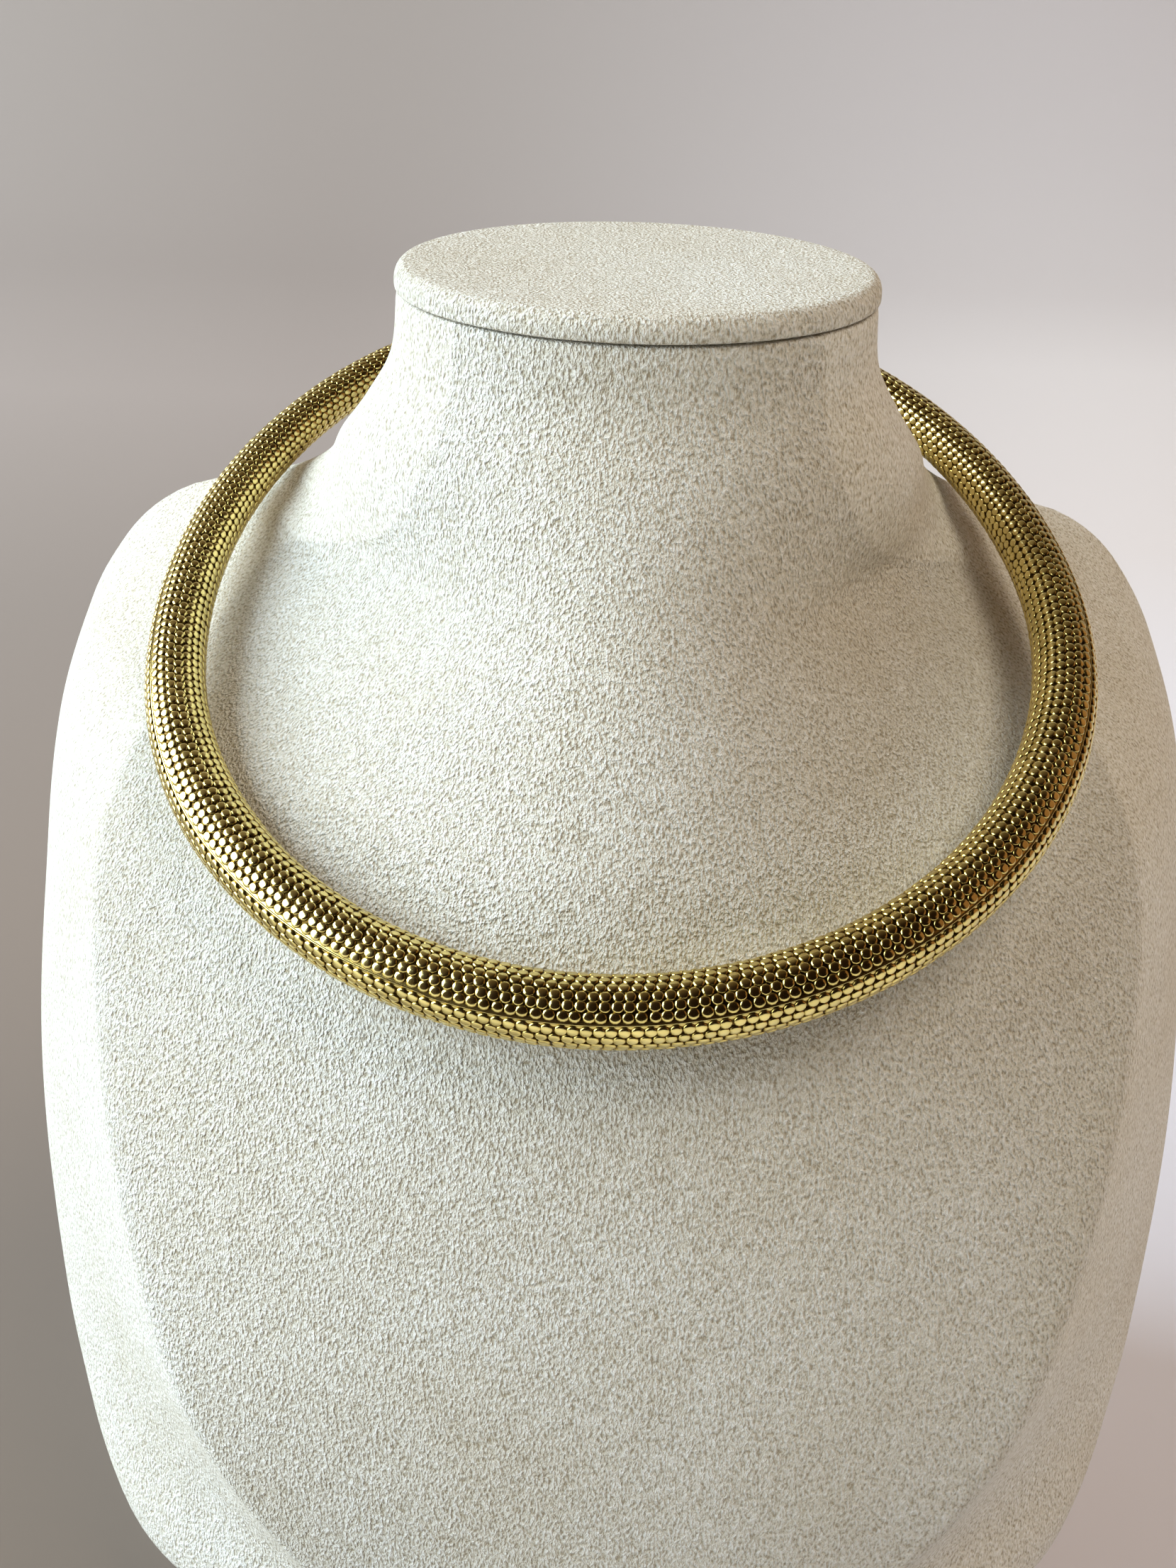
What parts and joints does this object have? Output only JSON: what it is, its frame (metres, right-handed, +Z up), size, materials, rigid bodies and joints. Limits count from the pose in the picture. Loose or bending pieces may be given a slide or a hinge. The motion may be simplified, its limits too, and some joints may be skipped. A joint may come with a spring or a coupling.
{
  "type": "collar choker necklace on a neck bust",
  "caption": "Rigid oval gold collar necklace, a hollow tube covered in rows of small raised dots and closed by a plain clasp at the back, resting on a suede neck bust with a flat oval cap.",
  "frame": {"origin": "middle of the whole object's box in X and Y, on the flat base that the bust stands on", "axes": "+Z up, -Y the way the bust's chest faces, +X to the viewer's right from the front"},
  "size_m": [0.21, 0.157, 0.228],
  "materials": {
    "suede": "cream microsuede with a fine irregular nap",
    "gold": "polished gold-coloured metal, a little tarnished between the dots"
  },
  "bodies": {
    "root": {"bust_form": "suede", "neck_cap": "suede", "collar_tube": "gold", "collar_clasp": "gold"}
  },
  "joints": []
}
